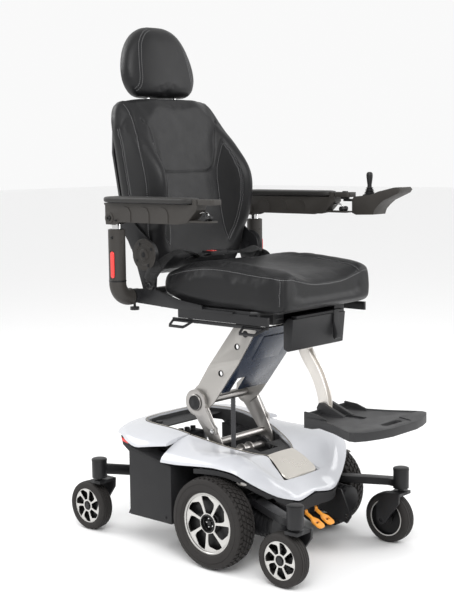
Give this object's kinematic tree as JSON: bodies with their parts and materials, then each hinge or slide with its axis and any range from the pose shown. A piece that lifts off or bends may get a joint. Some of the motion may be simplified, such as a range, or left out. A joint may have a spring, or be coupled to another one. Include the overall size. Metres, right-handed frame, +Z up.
{
  "type": "power wheelchair",
  "caption": "Mid-wheel-drive power wheelchair with swivel casters, a raised folding-link seat lift, reclining upholstered seat, flip-up armrests, joystick and foot platform.",
  "frame": {"origin": "on the floor at the middle of the footprint, at rest with the seat fully raised", "axes": "+Z up; the chair faces -Y; +X is the seated user's left, the joystick side"},
  "size_m": [0.702, 1.12, 1.6045],
  "materials": {
    "frame_black": "satin black",
    "shell_white": "pearl white gloss",
    "panel_silver": "warm satin silver",
    "plastic_dark": "fine grain",
    "battery_plastic": "coarse grain",
    "lens_red": "clear red",
    "conduit_grey": "ribbed",
    "lever_orange": "smooth",
    "drive_tread": "block tread",
    "rim_silver": "satin silver",
    "caster_wheel": "ribbed tyre on a silver spoked rim",
    "link_steel": "brushed",
    "lift_silver": "satin silver",
    "arm_front_blue": "satin",
    "bright_steel": "polished",
    "hanger_silver": "satin",
    "step_plastic": "fine grain",
    "cushion_cloth": "woven with grey stitching",
    "armrest_plastic": "fine grain",
    "armpad_foam": "soft grain",
    "stick_black": "fine",
    "webbing": "woven strap"
  },
  "bodies": {
    "base": {"base_frame": "frame_black", "rear_caster_beam": "frame_black", "shroud_front": "shell_white", "shroud_rear": "shell_white", "front_panel": "panel_silver", "lower_trim": "plastic_dark", "ramp_cover": "plastic_dark", "battery_box_right": "battery_plastic", "battery_box_left": "battery_plastic", "gearmotors": "frame_black", "tail_lights": "lens_red", "conduit": "conduit_grey"},
    "drive_wheel_right": {"drive_tyre_right": "drive_tread", "drive_rim_right": "rim_silver"},
    "front_swing_arm_right": {"front_arm_right": "frame_black"},
    "front_swivel_right": {"front_fork_right": "frame_black"},
    "front_wheel_right": {"front_caster_right": "caster_wheel"},
    "rear_swivel_right": {"rear_fork_right": "frame_black"},
    "rear_wheel_right": {"rear_caster_right": "caster_wheel"},
    "freewheel_right": {"freewheel_lever_right": "lever_orange"},
    "arm_slider_right": {"arm_post_right": "bright_steel"},
    "armrest_right": {"arm_skirt_right": "armrest_plastic", "arm_pad_right": "armpad_foam"},
    "drive_wheel_left": {"drive_tyre_left": "drive_tread", "drive_rim_left": "rim_silver"},
    "front_swing_arm_left": {"front_arm_left": "frame_black"},
    "front_swivel_left": {"front_fork_left": "frame_black"},
    "front_wheel_left": {"front_caster_left": "caster_wheel"},
    "rear_swivel_left": {"rear_fork_left": "frame_black"},
    "rear_wheel_left": {"rear_caster_left": "caster_wheel"},
    "freewheel_left": {"freewheel_lever_left": "lever_orange"},
    "arm_slider_left": {"arm_post_left": "bright_steel"},
    "armrest_left": {"arm_skirt_left": "armrest_plastic", "arm_pad_left": "armpad_foam"},
    "lower_link": {"lift_link": "link_steel", "link_covers": "link_steel"},
    "upper_arm": {"lift_arm": "lift_silver", "lift_arm_cover": "arm_front_blue"},
    "seat_frame": {"seat_base": "frame_black", "front_box": "plastic_dark", "foot_hanger": "hanger_silver"},
    "lift_motor": {"actuator_body": "plastic_dark"},
    "lift_ram": {"actuator_rod": "bright_steel"},
    "foot_flap": {"foot_platform": "step_plastic"},
    "seat": {"seat_pan": "frame_black", "seat_cushion": "cushion_cloth", "arm_tube_right": "armrest_plastic", "arm_tube_left": "armrest_plastic", "arm_reflectors": "lens_red", "lap_belt": "webbing"},
    "slide_release": {"release_lever": "frame_black"},
    "buckle_button": {"belt_button": "lens_red"},
    "backrest": {"back_frame": "frame_black", "back_cushion": "cushion_cloth"},
    "headrest": {"headrest_posts": "bright_steel", "headrest_cushion": "cushion_cloth"},
    "joystick_arm": {"joystick_mount": "frame_black", "joystick_housing": "armrest_plastic"},
    "stick_yoke": {"joystick_gimbal": "frame_black"},
    "stick": {"joystick_stick": "stick_black"}
  },
  "joints": [
    {"name": "drive_spin_right", "type": "hinge", "parent": "base", "child": "drive_wheel_right", "pos_m": [-0.266, -0.075, 0.1365], "axis": [1, 0, 0], "continuous": true},
    {"name": "suspension_right", "type": "hinge", "parent": "base", "child": "front_swing_arm_right", "pos_m": [-0.178, -0.151, 0.198], "axis": [1, 0, 0], "range_deg": [-4, 4], "stiffness_Nm_per_rad": 900},
    {"name": "front_swivel_turn_right", "type": "hinge", "parent": "front_swing_arm_right", "child": "front_swivel_right", "pos_m": [-0.2595, -0.373, 0.18], "axis": [0, 0, 1], "continuous": true},
    {"name": "front_wheel_spin_right", "type": "hinge", "parent": "front_swivel_right", "child": "front_wheel_right", "pos_m": [-0.2595, -0.332, 0.078], "axis": [1, 0, 0], "continuous": true},
    {"name": "rear_swivel_turn_right", "type": "hinge", "parent": "base", "child": "rear_swivel_right", "pos_m": [-0.2365, 0.443, 0.18], "axis": [0, 0, 1], "continuous": true},
    {"name": "rear_wheel_spin_right", "type": "hinge", "parent": "rear_swivel_right", "child": "rear_wheel_right", "pos_m": [-0.2365, 0.484, 0.078], "axis": [1, 0, 0], "continuous": true},
    {"name": "freewheel_turn_right", "type": "hinge", "parent": "base", "child": "freewheel_right", "pos_m": [-0.024, -0.221, 0.138], "axis": [1, 0, 0], "range_deg": [0, 30]},
    {"name": "arm_height_right", "type": "slide", "parent": "seat", "child": "arm_slider_right", "axis": [0, 0, 1], "range_m": [0, 0.05]},
    {"name": "arm_flip_right", "type": "hinge", "parent": "arm_slider_right", "child": "armrest_right", "pos_m": [-0.316, 0.261, 1.012], "axis": [-1, 0, 0], "range_deg": [0, 95]},
    {"name": "drive_spin_left", "type": "hinge", "parent": "base", "child": "drive_wheel_left", "pos_m": [0.266, -0.075, 0.1365], "axis": [1, 0, 0], "continuous": true},
    {"name": "suspension_left", "type": "hinge", "parent": "base", "child": "front_swing_arm_left", "pos_m": [0.178, -0.151, 0.198], "axis": [1, 0, 0], "range_deg": [-4, 4], "stiffness_Nm_per_rad": 900},
    {"name": "front_swivel_turn_left", "type": "hinge", "parent": "front_swing_arm_left", "child": "front_swivel_left", "pos_m": [0.2595, -0.373, 0.18], "axis": [0, 0, 1], "continuous": true},
    {"name": "front_wheel_spin_left", "type": "hinge", "parent": "front_swivel_left", "child": "front_wheel_left", "pos_m": [0.2595, -0.332, 0.078], "axis": [1, 0, 0], "continuous": true},
    {"name": "rear_swivel_turn_left", "type": "hinge", "parent": "base", "child": "rear_swivel_left", "pos_m": [0.2365, 0.443, 0.18], "axis": [0, 0, 1], "continuous": true},
    {"name": "rear_wheel_spin_left", "type": "hinge", "parent": "rear_swivel_left", "child": "rear_wheel_left", "pos_m": [0.2365, 0.484, 0.078], "axis": [1, 0, 0], "continuous": true},
    {"name": "freewheel_turn_left", "type": "hinge", "parent": "base", "child": "freewheel_left", "pos_m": [0.024, -0.221, 0.138], "axis": [1, 0, 0], "range_deg": [0, 30]},
    {"name": "arm_height_left", "type": "slide", "parent": "seat", "child": "arm_slider_left", "axis": [0, 0, 1], "range_m": [0, 0.05]},
    {"name": "arm_flip_left", "type": "hinge", "parent": "arm_slider_left", "child": "armrest_left", "pos_m": [0.316, 0.261, 1.012], "axis": [-1, 0, 0], "range_deg": [0, 95]},
    {"name": "lift", "type": "hinge", "parent": "base", "child": "lower_link", "pos_m": [0, 0.03, 0.285], "axis": [-1, 0, 0], "range_deg": [0, 52], "deforming": ["conduit"]},
    {"name": "knee", "type": "hinge", "parent": "lower_link", "child": "upper_arm", "pos_m": [0, 0.121, 0.441], "axis": [1, 0, 0], "range_deg": [0, 84.5]},
    {"name": "seat_level", "type": "hinge", "parent": "upper_arm", "child": "seat_frame", "pos_m": [0, -0.071, 0.668], "axis": [-1, 0, 0], "range_deg": [0, 32.4]},
    {"name": "motor_tilt", "type": "hinge", "parent": "base", "child": "lift_motor", "pos_m": [0, 0.237, 0.196], "axis": [-1, 0, 0], "range_deg": [0, 3.19]},
    {"name": "ram", "type": "slide", "parent": "lift_motor", "child": "lift_ram", "axis": [0, -0.9903, 0.1387], "range_m": [0, 0.05144]},
    {"name": "foot_flip", "type": "hinge", "parent": "seat_frame", "child": "foot_flap", "pos_m": [0, -0.283, 0.448], "axis": [-1, 0, 0], "range_deg": [0, 80]},
    {"name": "seat_slide", "type": "slide", "parent": "seat_frame", "child": "seat", "axis": [0, 1, 0], "range_m": [-0.04, 0.04]},
    {"name": "release_pull", "type": "hinge", "parent": "seat", "child": "slide_release", "pos_m": [-0.212, -0.075, 0.708], "axis": [0, 1, 0], "range_deg": [0, 9], "stiffness_Nm_per_rad": 3},
    {"name": "buckle_press", "type": "slide", "parent": "seat", "child": "buckle_button", "axis": [0, 0, -1], "range_m": [0, 0.002], "stiffness_N_per_m": 300},
    {"name": "recline", "type": "hinge", "parent": "seat", "child": "backrest", "pos_m": [0, 0.21, 0.899], "axis": [-1, 0, 0], "range_deg": [-8, 30]},
    {"name": "headrest_height", "type": "slide", "parent": "backrest", "child": "headrest", "axis": [0, 0.1908, 0.9816], "range_m": [0, 0.05]},
    {"name": "joystick_swing", "type": "hinge", "parent": "armrest_left", "child": "joystick_arm", "pos_m": [0.316, -0.122, 1.06], "axis": [0, 0, 1], "range_deg": [0, 80]},
    {"name": "stick_pitch", "type": "hinge", "parent": "joystick_arm", "child": "stick_yoke", "pos_m": [0.316, -0.215, 1.046], "axis": [1, 0, 0], "range_deg": [-18, 18], "stiffness_Nm_per_rad": 0.25},
    {"name": "stick_roll", "type": "hinge", "parent": "stick_yoke", "child": "stick", "pos_m": [0.316, -0.215, 1.046], "axis": [0, 1, 0], "range_deg": [-18, 18], "stiffness_Nm_per_rad": 0.25}
  ],
  "couplings": [
    {"joint": "knee", "follows": "lift", "ratio": 1.6205},
    {"joint": "seat_level", "follows": "lift", "ratio": 0.6205},
    {"joint": "motor_tilt", "follows": "lift", "ratio": 0.06066},
    {"joint": "ram", "follows": "lift", "m_per_rad": 0.056114}
  ]
}
